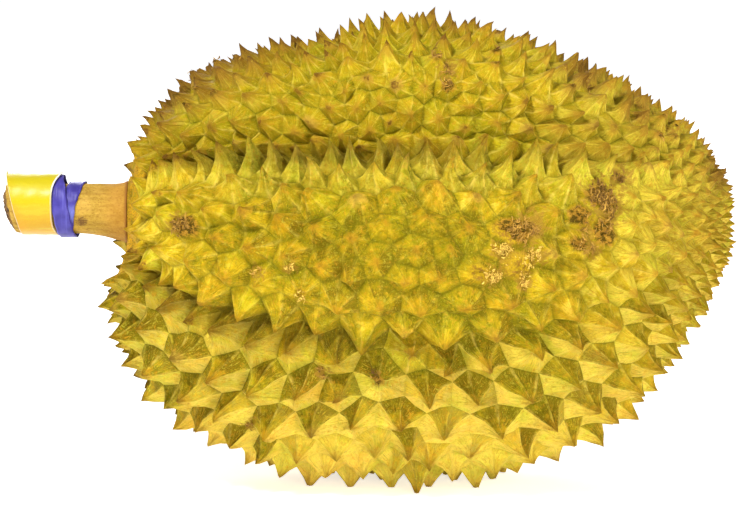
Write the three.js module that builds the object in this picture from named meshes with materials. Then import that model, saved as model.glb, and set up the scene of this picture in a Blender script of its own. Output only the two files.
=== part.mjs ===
// A whole durian lying on its side, with its cut stalk, a loose paper sleeve on the stalk and a plastic ribbon
// wound beside it. Millimetres, +Z up. +X runs along the fruit from the stalk end to the blossom end, -Y is the
// front, and the floor is z = 0, where the fruit rests on the blunted tips of its lowest thorns.
//
// The husk is a smooth five-lobed body whose surface is divided into cells, one for each thorn. Every thorn is a
// pyramid on its cell. The cells are the dual of a triangulation of evenly relaxed thorn sites, so they close up.

import * as THREE from "three";
import { ConvexHull } from "three/addons/math/ConvexHull.js";

// The fruit's body, measured at the feet of the thorns. Its core is on the line from the stalk to the blossom tip.
// Each outline lists the distance from the core every OUTLINE_STEP degrees, from the blossom tip to the stalk.
const CORE = new THREE.Vector3(13, 0, 130);
const OUTLINE_STEP = 30;
const OVER = [144, 100, 79, 74, 74, 100, 120];
const SIDE = [144, 117, 97, 91, 96, 115, 120];
const UNDER = [144, 140, 135.5, 124.5, 136.5, 140, 120];

// The seams between the five lobes. Angles go round +X from the front (0) over the top (90), in degrees. A groove
// has a width on each side, in radians, and loses a share of its depth towards the blossom end.
const SEAMS = [
  { angle: 21, depth: 15, below: 0.13, above: 0.32, fade: 0.35 },
  { angle: 100, depth: 8, below: 0.18, above: 0.18, fade: 0.4 },
  { angle: 195, depth: 9, below: 0.18, above: 0.18, fade: 0.4 },
  { angle: 268, depth: 9, below: 0.16, above: 0.16, fade: 0.4 },
  { angle: 326, depth: 7.5, below: 0.18, above: 0.11, fade: 0.85 },
];

// The front lobe leans back: under the deep seam it is set back, and it stands out over the seam below it.
const LEAN_BACK = 11;
const LEAN_ANGLES = [-24, 18, 30, 52]; // in degrees round the fruit: set back fully between the middle two
const SWELL = 4;
const SWELL_ANGLE = -22;
const SWELL_SPREAD = 11;

// Thorns.
const SPACING = 12.9; // between thorn tips on the flank
const BELLY_SPACING = 22; // on the flanks of the two lower lobes
const UNDER_SPACING = 17.5; // where the fruit faces the floor
const FRONT_STRETCH = 0.25; // the front lobe's cells are this much longer along the fruit
const LIP_SPACING = 12.6; // along the lip below the deep seam
const LIP_SPAN = 0.3; // how far down the lip goes, in radians
const LIP_GAIN = 0.55; // how much taller the lip's thorns are for their spacing
const LIP_LEAN = 0.45; // how much they lean out of the groove
const BLOSSOM_SPACING = 5.6; // at the blossom end
const STALK_END_SPACING = 11;
const STALK_CELL_SPACING = 44; // keeps the thorns clear of the stalk
const THORN_HEIGHT = 10; // of a thorn at the flank spacing
const HEIGHT_POWER = 0.85; // how a thorn's height follows its spacing, for the closer ones
const WIDE_HEIGHT_POWER = 0.45; // and for those with more room than on the flank
const HEIGHT_SPREAD = 0.2;
const TILT_SPREAD = 0.26;
const FRONT_LIFT = 0.65; // how much the front lobe's upper thorns turn up
const LIFT_ANGLES = [-9, 3, 14, 24]; // in degrees round the fruit: turned up fully between the middle two
const FRONT_DROOP = 0.34; // and how much its lowest ones hang
const DROOP_ANGLES = [-33, -29, -17, -8]; // hanging fully between the middle two
const SWEEP = 0.4; // how much thorns lean towards the nearer end, away from the fruit's middle
const SWEEP_SHARES = [0.2, 0.55, 0.75, 0.95]; // of the way to the end: swept fully between the middle two
const COLLAR_RADII = [25, 36]; // low corky thorns round the stalk, in front, fade out between these
const COLLAR_LOSS = 0.78;
const WORN_CENTRE = new THREE.Vector3(20, -92, 112); // middle of the rubbed patch on the front
const WORN_SIZE = new THREE.Vector3(62, 60, 20);
const WORN_LOSS = 0.5; // share of its height that a thorn loses there
const BLUNT_ANGLES = [22, 29, 40, 58]; // over the deep seam: blunt between the middle two
const BLUNT_LOSS = 0.38;
const UNDER_LOSS = 0.25; // share of its height that a thorn loses where the fruit faces the floor
const FOOT_BAND = 5; // tips this close to the floor reach it
const FOOT_PRESS = 2.4; // how far a resting tip is blunted
const RELAX_STEPS = 84;

// The stalk and what is on it.
const STALK_DROP = 8.6; // the stalk's axis is this far below the core
const SEAT_RADIUS = 15.4;
const SEAT_DEPTH = 1.8; // how far the seat lies below the husk round it
const STALK_CLEARANCE = 16.5; // no thorn tip is nearer than this to the stalk's axis
const FIT_GAP = 0.3;
const STALK_SIDES = 20;
const STALK_LENGTH = 57;
const STALK_RADIUS = 11.3;
const FLARE_RADIUS = 13.9; // of the stalk where it meets the seat
const STALK_RISE = 1.5; // the flare hangs down, so the rest of the stalk lies this far above the seat's middle
const CUT_SLANT = 2.5; // the cut end reaches this much further at the top than at its middle
const SLEEVE_START = 33.6; // from the seat to the sleeve's inner edge, at the front
const SLEEVE_END = 50.9; // to the middle of its outer edge
const SLEEVE_SLANT = 3.5;
const SLEEVE_RADIUS = 14;
const SLEEVE_LIFT = 2.4; // the loose sleeve's axis lies this far above the stalk's
const SLEEVE_WALL = 0.5;
const SLEEVE_SIDES = 36;
const RIBBON_WIDTH = 6.8;
const RIBBON_WALL = 0.5;
const RIBBON_STEPS = 64;

// The ribbon's path: an angle round the stalk (0 front, 90 top), how far out from the seat, and how far from the
// stalk's axis its inner side is. It passes the front twice, the second time over itself.
const RIBBON_PATH = [
  { angle: 150, out: 22.3, away: 11.7 },
  { angle: 90, out: 22.5, away: 11.7 },
  { angle: 45, out: 24.6, away: 11.7 },
  { angle: 0, out: 26.9, away: 11.7 },
  { angle: -45, out: 27.6, away: 11.7 },
  { angle: -90, out: 27.6, away: 11.7 },
  { angle: -135, out: 28.4, away: 11.7 },
  { angle: -180, out: 29.8, away: 12.2 },
  { angle: -225, out: 31, away: 13.6 },
  { angle: -270, out: 31.5, away: 15.2 },
  { angle: -315, out: 30.8, away: 13.8 },
  { angle: -360, out: 29.6, away: 12.7 },
  { angle: -405, out: 27.8, away: 12.6 },
  { angle: -450, out: 26.3, away: 12.6 },
  { angle: -505, out: 25.3, away: 12.6 },
];

const DEGREE = Math.PI / 180;
const { smoothstep } = THREE.MathUtils;

// A repeatable stream of numbers from 0 to 1.
function seededRandom(seed) {
  let state = seed;
  return () => {
    state = (state + 0x6d2b79f5) | 0;
    let t = Math.imul(state ^ (state >>> 15), 1 | state);
    t = (t + Math.imul(t ^ (t >>> 7), 61 | t)) ^ t;
    return ((t ^ (t >>> 14)) >>> 0) / 4294967296;
  };
}
const random = seededRandom(20);

function mix(a, b, share) {
  return a + (b - a) * share;
}

// ---- The body's surface ------------------------------------------------------------------------------------

// Angle round the fruit of a direction, from the front over the top.
function angleRound(direction) {
  return Math.atan2(direction.z, -direction.y);
}

// Signed angle from a seam, between -PI and PI.
function angleFromSeam(angle, seam) {
  const gap = angle - seam.angle * DEGREE;
  return Math.atan2(Math.sin(gap), Math.cos(gap));
}

// Depth of the seams' grooves where a direction meets the body. A groove ends before the stalk and the tip.
function grooveDepth(direction) {
  const angle = angleRound(direction);
  const roundness = Math.hypot(direction.y, direction.z);
  const ends = smoothstep(roundness, 0.12, 0.6);
  let depth = 0;
  for (const seam of SEAMS) {
    const gap = angleFromSeam(angle, seam);
    const across = gap / (gap < 0 ? seam.below : seam.above);
    const along = 1 - seam.fade * smoothstep(direction.x, -0.4, 0.8);
    depth += seam.depth * along * ends * Math.exp(-across * across);
  }
  return depth;
}

// How far the front lobe is set back where a direction meets it. Where it swells out, this is negative.
function setBack(direction) {
  const angle = angleRound(direction) / DEGREE;
  const [start, full, last, end] = LEAN_ANGLES;
  const roundness = Math.hypot(direction.y, direction.z);
  const ends = smoothstep(roundness, 0.35, 0.85);
  const under = smoothstep(angle, start, full);
  const over = 1 - smoothstep(angle, last, end);
  const away = (angle - SWELL_ANGLE) / SWELL_SPREAD;
  return ends * (LEAN_BACK * under * over - SWELL * Math.exp(-away * away));
}

// Distance from the core on an outline, at a turn from the blossom tip in degrees, by a Catmull-Rom curve. Past
// either end the curve goes on along the outline of the other side.
function outlineAt(outline, otherSide, turn) {
  const last = outline.length - 1;
  const valueAt = (index) => {
    if (index < 0) return otherSide[-index];
    return index > last ? otherSide[2 * last - index] : outline[index];
  };
  const place = Math.min(turn / OUTLINE_STEP, last - 1e-6);
  const index = Math.floor(place);
  const t = place - index;
  const [a, b, c, d] = [-1, 0, 1, 2].map((offset) => valueAt(index + offset));
  return b + 0.5 * t * (c - a + t * (2 * a - 5 * b + 4 * c - d + t * (3 * (b - c) + d - a)));
}

// The surface point in a direction from the core. Round the fruit, quarter ellipses join the outlines over it,
// along its sides and under it, and the grooves are taken off.
function bodyPoint(direction) {
  const turn = Math.atan2(Math.hypot(direction.y, direction.z), direction.x) / DEGREE;
  const angle = angleRound(direction);
  const side = outlineAt(SIDE, SIDE, turn);
  const level = direction.z > 0 ? outlineAt(OVER, UNDER, turn) : outlineAt(UNDER, OVER, turn);
  const radius = 1 / Math.hypot(Math.cos(angle) / side, Math.sin(angle) / level);
  return CORE.clone().addScaledVector(direction, radius - grooveDepth(direction) - setBack(direction));
}

// The direction from the core of a point near the surface.
function directionOf(point) {
  return point.clone().sub(CORE).normalize();
}

// Outward normal of the body, from two short steps over the surface.
function bodyNormal(direction) {
  const step = 0.02;
  const helper = Math.abs(direction.x) < 0.9 ? new THREE.Vector3(1, 0, 0) : new THREE.Vector3(0, 0, 1);
  const tangentA = helper.cross(direction).normalize();
  const tangentB = direction.clone().cross(tangentA);
  const slope = (tangent) => {
    const ahead = bodyPoint(direction.clone().addScaledVector(tangent, step).normalize());
    const behind = bodyPoint(direction.clone().addScaledVector(tangent, -step).normalize());
    return ahead.sub(behind);
  };
  return slope(tangentA).cross(slope(tangentB)).normalize();
}

// ---- Thorn sites -------------------------------------------------------------------------------------------

// How far a direction is onto the lip below the deep seam, where the tallest thorns stand, from 0 to 1.
function lipShare(direction) {
  const below = -angleFromSeam(angleRound(direction), SEAMS[0]);
  const roundness = Math.hypot(direction.y, direction.z);
  if (below < 0) return 0;
  return (1 - smoothstep(below, 0.1, LIP_SPAN)) * smoothstep(roundness, 0.3, 0.7);
}

// Wanted distance between thorns: wide on the belly, close at the blossom end.
function spacingAt(direction, point) {
  const roundness = Math.hypot(direction.y, direction.z);
  const downward = -direction.z / Math.max(roundness, 0.2);
  const below = smoothstep(downward, 0.44, 0.62);
  const under = smoothstep(downward, 0.82, 0.95);
  const belly = mix(mix(SPACING, BELLY_SPACING, below), UNDER_SPACING, under);
  const flank = mix(belly, LIP_SPACING, lipShare(direction));
  const toBlossom = smoothstep((point.x - CORE.x) / OVER[0], 0.54, 1.04);
  const toStalk = smoothstep(-direction.x, 0.8, 0.97);
  return mix(mix(flank, BLOSSOM_SPACING, toBlossom), STALK_END_SPACING, toStalk);
}

function randomDirection() {
  const x = 2 * random() - 1;
  const angle = 2 * Math.PI * random();
  const round = Math.sqrt(1 - x * x);
  return new THREE.Vector3(x, round * Math.cos(angle), round * Math.sin(angle));
}

// Area of surface that one unit of solid angle covers at a direction.
function areaShare(direction, point) {
  const radius = point.distanceTo(CORE);
  return (radius * radius) / Math.max(0.3, Math.abs(bodyNormal(direction).dot(direction)));
}

// One site on the stalk's axis and the rest scattered by how densely thorns stand there.
function scatterSites() {
  const tries = 12000;
  const hexagonShare = Math.sqrt(3) / 2;
  const pole = new THREE.Vector3(-OVER[OVER.length - 1], 0, -STALK_DROP).normalize();
  const stalkCell = { spacing: STALK_CELL_SPACING, stretch: 0, fixed: true };
  const sites = [{ direction: pole, point: bodyPoint(pole), ...stalkCell }];
  for (let i = 0; i < tries; i += 1) {
    const direction = randomDirection();
    const point = bodyPoint(direction);
    const spacing = spacingAt(direction, point);
    const solidAngle = (4 * Math.PI) / tries;
    const stretch = stretchAt(direction);
    const share = (1 - stretch) / (hexagonShare * spacing * spacing);
    const wanted = areaShare(direction, point) * solidAngle * share;
    if (random() < wanted) sites.push({ direction, point, spacing, stretch, fixed: false });
  }
  return sites;
}

// A push away from the nearest seam, so that thorns stand in rows along it and none is in the groove.
function pushFromSeams(site, push) {
  const angle = angleRound(site.direction);
  const roundness = Math.hypot(site.direction.y, site.direction.z);
  const radius = site.point.distanceTo(CORE) * roundness;
  for (const seam of SEAMS) {
    const gap = angleFromSeam(angle, seam);
    const room = 0.5 * site.spacing - Math.abs(gap) * radius;
    if (room <= 0 || roundness < 0.25) continue;
    const side = Math.sign(gap) || 1;
    push.y += side * room * 0.5 * Math.sin(angle);
    push.z += side * room * 0.5 * Math.cos(angle);
  }
}

// How much longer than wide the cells of the front lobe are.
function stretchAt(direction) {
  const middle = Math.cos(angleRound(direction) + 6 * DEGREE);
  return FRONT_STRETCH * smoothstep(middle, 0.8, 0.95);
}

// Moves the sites apart until each has its own room.
function relaxSites(sites) {
  const reach = 1.25;
  for (let step = 0; step < RELAX_STEPS; step += 1) {
    const pushes = sites.map(() => new THREE.Vector3());
    for (let i = 0; i < sites.length; i += 1) {
      for (let j = i + 1; j < sites.length; j += 1) {
        const range = (reach * (sites[i].spacing + sites[j].spacing)) / 2;
        const gap = sites[i].point.clone().sub(sites[j].point);
        gap.x *= 1 - sites[i].stretch;
        const distance = gap.length();
        if (distance >= range || distance === 0) continue;
        gap.multiplyScalar((0.22 * (range - distance)) / distance);
        pushes[i].add(gap);
        pushes[j].sub(gap);
      }
    }
    sites.forEach((site, i) => {
      if (site.fixed) return;
      pushFromSeams(site, pushes[i]);
      pushes[i].clampLength(0, 0.35 * site.spacing);
      site.direction = directionOf(site.point.clone().add(pushes[i]));
      site.point = bodyPoint(site.direction);
      site.spacing = spacingAt(site.direction, site.point);
      site.stretch = stretchAt(site.direction);
    });
  }
  return sites;
}

// ---- The husk ----------------------------------------------------------------------------------------------

// Triangulates the sites over the body. Each triangle's middle becomes a corner where three cells meet, and each
// site gets the list of the corners round it, in order, turning left as seen from outside.
function cellsOf(sites) {
  const siteOf = new Map(sites.map((site) => [site.direction, site]));
  const hull = new ConvexHull().setFromPoints(sites.map((site) => site.direction));
  const corners = [];
  const cornerOf = new Map();
  for (const face of hull.faces) {
    const middle = new THREE.Vector3();
    for (let k = 0; k < 3; k += 1) middle.add(siteOf.get(face.getEdge(k).head().point).point);
    cornerOf.set(face, corners.length);
    corners.push(bodyPoint(directionOf(middle.divideScalar(3))));
  }
  for (const face of hull.faces) {
    for (let k = 0; k < 3; k += 1) {
      const edge = face.getEdge(k);
      const site = siteOf.get(edge.head().point);
      if (site.ring) continue;
      site.ring = [];
      let turning = edge;
      do {
        site.ring.push(cornerOf.get(turning.face));
        turning = turning.twin.prev;
      } while (turning !== edge);
    }
  }
  return corners;
}

// How much of the front's rubbed patch a point is in, from 0 to 1.
function wornShare(point) {
  const away = point.clone().sub(WORN_CENTRE).divide(WORN_SIZE).lengthSq();
  return Math.exp(-away);
}

// How blunt the thorns are over the deep seam, from 0 to 1.
function bluntShare(direction) {
  const angle = angleRound(direction) / DEGREE;
  const [start, full, last, end] = BLUNT_ANGLES;
  const past = smoothstep(angle, start, full) * (1 - smoothstep(angle, last, end));
  return past * (1 - smoothstep(Math.abs(direction.x), 0.5, 0.85));
}

// How much a thorn of the front lobe turns up, from its angle round the fruit. Less than 0 where it hangs down.
function turnUp(direction) {
  const angle = angleRound(direction) / DEGREE;
  const [low, full, last, end] = LIFT_ANGLES;
  const [bottom, hung, hanging, level] = DROOP_ANGLES;
  const roundness = Math.hypot(direction.y, direction.z);
  const ends = smoothstep(roundness, 0.5, 0.85);
  const lift = smoothstep(angle, low, full) * (1 - smoothstep(angle, last, end));
  const hang = smoothstep(angle, bottom, hung) * (1 - smoothstep(angle, hanging, level));
  return ends * (FRONT_LIFT * lift - FRONT_DROOP * hang);
}

// How much a thorn leans along the fruit: to the right where more than 0.
function sweep(direction) {
  const [start, full, last, end] = SWEEP_SHARES;
  const share = Math.abs(direction.x);
  return Math.sign(direction.x) * SWEEP * smoothstep(share, start, full) * (1 - smoothstep(share, last, end));
}

// How far a thorn belongs to the low collar in front of the stalk, from 0 to 1.
function collarShare(point, seat) {
  if (point.x > 0) return 0;
  const fromStalk = Math.hypot(point.y - seat.y, point.z - seat.z);
  return (1 - smoothstep(fromStalk, ...COLLAR_RADII)) * smoothstep(seat.y - point.y, 0, 8);
}

// Where a thorn's tip stands: over the middle of its cell, along the normal with a little chance in it.
function thornTip(site, corners, seat) {
  const middle = new THREE.Vector3();
  for (const corner of site.ring) middle.add(corners[corner]);
  middle.divideScalar(site.ring.length);
  const room = site.spacing / SPACING;
  const usual = THORN_HEIGHT * room ** (room > 1 ? WIDE_HEIGHT_POWER : HEIGHT_POWER);
  const lip = lipShare(site.direction);
  const height = usual * (1 + LIP_GAIN * lip);
  const chance = 1 + HEIGHT_SPREAD * (2 * random() - 1);
  const under = UNDER_LOSS * smoothstep(-site.direction.z, 0.7, 0.9);
  const rubbed = WORN_LOSS * wornShare(middle);
  const blunt = BLUNT_LOSS * bluntShare(site.direction);
  const corky = COLLAR_LOSS * collarShare(middle, seat);
  const left = (1 - rubbed) * (1 - blunt) * (1 - under) * (1 - corky);
  const lean = randomDirection().multiplyScalar(TILT_SPREAD * random());
  const along = bodyNormal(site.direction).add(lean);
  along.addScaledVector(site.direction, LIP_LEAN * lip);
  along.z += turnUp(site.direction);
  along.x += sweep(site.direction) * (1 - lip);
  along.normalize();
  const tip = middle.addScaledVector(along, height * chance * left);
  if (tip.z < FOOT_BAND) tip.addScaledVector(along, (tip.z + FOOT_PRESS) / -along.z);
  if (tip.x < seat.x + 2 * THORN_HEIGHT) {
    const fromStalk = new THREE.Vector3(0, tip.y - seat.y, tip.z - seat.z);
    const missing = STALK_CLEARANCE - fromStalk.length();
    if (missing > 0) tip.addScaledVector(fromStalk.normalize(), missing);
  }
  return tip;
}

// Adds a thorn's triangles: a pyramid, or a frustum where topPoint says where each side ends at a flat top.
function addThorn(mesh, ring, tip, topPoint) {
  const count = ring.length;
  if (!topPoint) {
    const apex = mesh.points.push(tip) - 1;
    ring.forEach((corner, k) => mesh.triangles.push([apex, corner, ring[(k + 1) % count]]));
    return;
  }
  const top = ring.map((corner) => mesh.points.push(topPoint(mesh.points[corner])) - 1);
  const middle = new THREE.Vector3();
  for (const point of top) middle.add(mesh.points[point]);
  const centre = mesh.points.push(middle.divideScalar(count)) - 1;
  ring.forEach((corner, k) => {
    const next = (k + 1) % count;
    mesh.triangles.push([top[k], corner, ring[next]]);
    mesh.triangles.push([top[k], ring[next], top[next]]);
    mesh.triangles.push([centre, top[k], top[next]]);
  });
}

function geometryOf(mesh) {
  const positions = new Float32Array(mesh.points.length * 3);
  mesh.points.forEach((point, i) => point.toArray(positions, i * 3));
  const geometry = new THREE.BufferGeometry();
  geometry.setAttribute("position", new THREE.BufferAttribute(positions, 3));
  geometry.setIndex(mesh.triangles.flat());
  geometry.computeVertexNormals();
  return geometry;
}

// The whole husk, and the centre of the seat that the stalk stands on.
function huskGeometry() {
  const sites = relaxSites(scatterSites());
  const corners = cellsOf(sites);
  const mesh = { points: corners.slice(), triangles: [] };
  const seat = sites[0].point.clone();
  seat.x += SEAT_DEPTH;
  for (const site of sites) {
    if (site.fixed) {
      const onSeat = (corner) => {
        const out = new THREE.Vector3(0, corner.y - seat.y, corner.z - seat.z);
        return seat.clone().addScaledVector(out.normalize(), SEAT_RADIUS);
      };
      addThorn(mesh, site.ring, seat, onSeat);
      continue;
    }
    const tip = thornTip(site, corners, seat);
    const onFloor = (corner) => {
      const share = tip.z / (tip.z - corner.z);
      const point = tip.clone().lerp(corner, share);
      point.z = 0;
      return point;
    };
    addThorn(mesh, site.ring, tip, tip.z < 0 ? onFloor : null);
  }
  return { geometry: geometryOf(mesh), seat };
}

// ---- The stalk, the sleeve and the ribbon -------------------------------------------------------------------

// Skins a row of closed rings of points into one closed solid, from the first ring to the last. With hollow set
// the last ring joins the first, otherwise both ends are closed with a fan.
function skinRings(rings, hollow = false) {
  const sides = rings[0].length;
  const mesh = { points: rings.flat(), triangles: [] };
  const spans = hollow ? rings.length : rings.length - 1;
  for (let r = 0; r < spans; r += 1) {
    const here = r * sides;
    const there = ((r + 1) % rings.length) * sides;
    for (let k = 0; k < sides; k += 1) {
      const next = (k + 1) % sides;
      mesh.triangles.push([here + k, there + k, there + next]);
      mesh.triangles.push([here + k, there + next, here + next]);
    }
  }
  if (!hollow) {
    const middleOf = (ring) => {
      const middle = new THREE.Vector3();
      for (const point of ring) middle.add(point);
      return mesh.points.push(middle.divideScalar(sides)) - 1;
    };
    const first = middleOf(rings[0]);
    const last = middleOf(rings[rings.length - 1]);
    const lastRing = (rings.length - 1) * sides;
    for (let k = 0; k < sides; k += 1) {
      const next = (k + 1) % sides;
      mesh.triangles.push([first, k, next]);
      mesh.triangles.push([last, lastRing + next, lastRing + k]);
    }
  }
  return geometryOf(mesh);
}

// A ring of points round an axis that runs along X. Its distance out from the seat may change round the ring, as
// a function of the sine of the angle above the front.
function ringAt(outAt, radius, sides, lift) {
  const ring = [];
  for (let k = 0; k < sides; k += 1) {
    const angle = (2 * Math.PI * k) / sides;
    const height = Math.sin(angle);
    ring.push(new THREE.Vector3(-outAt(height), radius * Math.cos(angle), radius * height + lift));
  }
  return ring;
}

// The stalk flares where it joins the husk and ends in a rounded, slightly slanting cut.
function stalkGeometry() {
  const base = FLARE_RADIUS;
  const neck = STALK_LENGTH - 6;
  const stations = [
    { out: FIT_GAP, radius: base, lift: 0 },
    { out: 2.5, radius: base - 0.8, lift: 0.2 },
    { out: 7, radius: mix(STALK_RADIUS, base, 0.4), lift: 0.6 },
    { out: 15, radius: mix(STALK_RADIUS, base, 0.12), lift: 0.85 * STALK_RISE },
    { out: 22, radius: STALK_RADIUS, lift: STALK_RISE },
    { out: 36, radius: STALK_RADIUS, lift: STALK_RISE },
    { out: neck, radius: STALK_RADIUS - 0.3, lift: STALK_RISE },
    { out: neck + 2.5, radius: STALK_RADIUS - 1.6, lift: STALK_RISE },
    { out: neck + 4.5, radius: STALK_RADIUS - 4.5, lift: STALK_RISE },
    { out: STALK_LENGTH, radius: 3, lift: STALK_RISE },
  ];
  const rings = stations.map(({ out, radius, lift }) => {
    const slant = CUT_SLANT * smoothstep(out, 39, neck) * (radius / STALK_RADIUS);
    return ringAt((height) => out + slant * height, radius, STALK_SIDES, lift);
  });
  return skinRings(rings);
}

// A loose paper tube: its lowest line hangs just under the stalk. Its far edge slants with the cut, and its near
// edge is drawn out to a corner above and, less, below.
function sleeveGeometry() {
  const inner = SLEEVE_RADIUS;
  const outer = SLEEVE_RADIUS + SLEEVE_WALL;
  const lift = STALK_RISE + SLEEVE_LIFT;
  const nearEdge = (height) => SLEEVE_START - (3.4 + 0.9 * height) * height ** 4;
  const farEdge = (height) => SLEEVE_END + SLEEVE_SLANT * height;
  return skinRings(
    [
      ringAt(nearEdge, outer, SLEEVE_SIDES, lift),
      ringAt(farEdge, outer, SLEEVE_SIDES, lift),
      ringAt(farEdge, inner, SLEEVE_SIDES, lift),
      ringAt(nearEdge, inner, SLEEVE_SIDES, lift),
    ],
    true,
  );
}

// A flat strip swept along the ribbon's path, a rounded curve through the stations.
function ribbonGeometry() {
  const stations = RIBBON_PATH.map(({ angle, out, away }) => new THREE.Vector3(angle, out, away));
  const path = new THREE.CatmullRomCurve3(stations);
  const rings = path.getPoints(RIBBON_STEPS).map((place) => {
    const angle = place.x * DEGREE;
    const corner = (along, away) => {
      const height = away * Math.sin(angle) + STALK_RISE;
      return new THREE.Vector3(-place.y - along, -away * Math.cos(angle), height);
    };
    const half = RIBBON_WIDTH / 2;
    const outside = place.z + RIBBON_WALL;
    return [corner(-half, place.z), corner(half, place.z), corner(half, outside), corner(-half, outside)];
  });
  return skinRings(rings);
}

// ---- The model ---------------------------------------------------------------------------------------------

function namedMesh(name, geometry, look) {
  const mesh = new THREE.Mesh(geometry, new THREE.MeshStandardMaterial(look));
  mesh.name = name;
  return mesh;
}

const huskLook = { color: 0xb9a52c, roughness: 0.62, metalness: 0, flatShading: true };
const stalkLook = { color: 0xc39a4a, roughness: 0.85, metalness: 0 };
const sleeveLook = { color: 0xf5e61a, roughness: 0.45, metalness: 0 };
const ribbonLook = { color: 0x3a34a8, roughness: 0.35, metalness: 0 };

const husk = huskGeometry();
const durian = new THREE.Group();
durian.add(namedMesh("husk", husk.geometry, huskLook));

const stalkAssembly = new THREE.Group();
stalkAssembly.position.copy(husk.seat);
stalkAssembly.add(
  namedMesh("stalk", stalkGeometry(), stalkLook),
  namedMesh("paper_sleeve", sleeveGeometry(), sleeveLook),
  namedMesh("ribbon", ribbonGeometry(), ribbonLook),
);
durian.add(stalkAssembly);

// The frame's origin is under the middle of the whole, on the floor.
const middle = new THREE.Box3().setFromObject(durian, true).getCenter(new THREE.Vector3());
durian.position.set(-middle.x, -middle.y, 0);

export default durian;
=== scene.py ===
"""The looks of a whole durian: its thorny husk, its stalk, and the paper sleeve and the ribbon on the stalk.

Lengths are in metres where nothing else is said. +X runs from the stalk to the blossom end, -Y is the front
and +Z is up. An angle round the fruit or the stalk is counted from the front (0) over the top (90).
"""

import bpy
import numpy as np
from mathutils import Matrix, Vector
from types import SimpleNamespace


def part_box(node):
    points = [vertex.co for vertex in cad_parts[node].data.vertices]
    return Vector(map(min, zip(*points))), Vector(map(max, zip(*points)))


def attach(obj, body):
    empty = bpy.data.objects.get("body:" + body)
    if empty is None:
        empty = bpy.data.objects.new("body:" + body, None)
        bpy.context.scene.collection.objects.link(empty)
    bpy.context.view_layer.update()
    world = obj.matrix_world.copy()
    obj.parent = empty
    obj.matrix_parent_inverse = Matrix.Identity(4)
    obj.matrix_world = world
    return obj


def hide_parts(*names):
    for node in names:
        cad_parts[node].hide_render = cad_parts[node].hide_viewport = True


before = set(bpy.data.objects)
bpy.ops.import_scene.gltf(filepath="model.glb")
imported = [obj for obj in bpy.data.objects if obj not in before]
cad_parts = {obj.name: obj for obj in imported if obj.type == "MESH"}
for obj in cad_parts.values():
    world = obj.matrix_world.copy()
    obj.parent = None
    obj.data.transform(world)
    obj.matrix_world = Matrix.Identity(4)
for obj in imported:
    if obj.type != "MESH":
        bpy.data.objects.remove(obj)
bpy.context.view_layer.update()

MM = 0.001
DEGREE = np.pi / 180
SEED = 11

# ---- Small tools ----


def smoothstep(value, low, high):
    """0 below low, 1 above high, and a smooth S between them."""
    t = np.clip((value - low) / (high - low), 0, 1)
    return t * t * (3 - 2 * t)


def mix(a, b, share):
    return a + (b - a) * share


def length(vectors):
    return np.linalg.norm(vectors, axis=-1)


def unit(vectors):
    return vectors / np.maximum(length(vectors)[..., None], 1e-12)


def waves(points, wavelength, seed, count=14):
    """Smooth uneven values around 0: the sum of plane waves in seeded directions, near one wavelength."""
    rng = np.random.default_rng(seed)
    directions = unit(rng.normal(size=(count, 3)))
    lengths = wavelength * rng.uniform(0.7, 1.5, count)
    phases = rng.uniform(0, 2 * np.pi, count)
    angles = points @ (directions / lengths[:, None]).T * 2 * np.pi + phases
    return np.sin(angles).sum(-1) / np.sqrt(count)


def box_of(node):
    """The lowest and the highest corner of a CAD node."""
    return [np.array(corner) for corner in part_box(node)]


def inside(points, node):
    """The points, held within the box of a CAD node."""
    return np.clip(points, *box_of(node))


def new_object(name, data):
    made = bpy.data.objects.new(name, data)
    bpy.context.scene.collection.objects.link(made)
    return made


def make_piece(name, points, faces, node):
    """A shaded piece that stands for a CAD node, hung under the root body, with the node hidden."""
    mesh = bpy.data.meshes.new(name)
    mesh.from_pydata(points.tolist(), [], faces.tolist())
    mesh.update()
    mesh.polygons.foreach_set("use_smooth", np.ones(len(mesh.polygons), bool))
    piece = new_object(name, mesh)
    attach(piece, "root")
    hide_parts(node)
    return piece


def add_values(piece, name, values, domain="POINT"):
    """One number for each point or face, for the materials to read."""
    attribute = piece.data.attributes.new(name, "FLOAT", domain)
    attribute.data.foreach_set("value", np.asarray(values, np.float32).ravel())


def add_uv(piece, uv):
    layer = piece.data.uv_layers.new(name="UVMap")
    layer.data.foreach_set("uv", np.asarray(uv, np.float32).ravel())


def wrapped_grid(rows, columns):
    """Quads over a grid of points that is stored row by row, with the last column joined to the first."""
    r, c = np.meshgrid(np.arange(rows - 1), np.arange(columns), indexing="ij")
    here = r * columns + c
    beside = r * columns + (c + 1) % columns
    return np.stack([here, beside, beside + columns, here + columns], -1).reshape(-1, 4)


def out_and_back(outer, inner, axis=0):
    """The rows or the columns of the outer grid, then those of the inner one the other way round."""
    return np.concatenate([outer, np.flip(inner, axis)], axis)


def halves(quads):
    """The two triangles of every quad."""
    return np.concatenate([quads[:, [0, 1, 2]], quads[:, [0, 2, 3]]])


# ---- The seat of the stalk ----

SEAT_TO_STALK = 0.3 * MM
STALK_AXIS = 13.9 * MM  # from the lowest point of the stalk's flare up to the seat's middle


def seat_middle():
    """The middle of the husk's flat seat, which the stalk grows from."""
    low, high = box_of("stalk")
    return np.array([high[0] + SEAT_TO_STALK, (low[1] + high[1]) / 2, low[2] + STALK_AXIS])


# ---- Reading the husk's thorns from the CAD solid ----

DOUBLES = 2e-6  # points of the solid closer than this are one point
VALLEY_DEPTH = 0.1 * MM
SEAT_THICK, SEAT_REACH = 0.1 * MM, 16 * MM  # how near the points of the seat are to its face and its middle
JOINING_ROUNDS = 40


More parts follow.
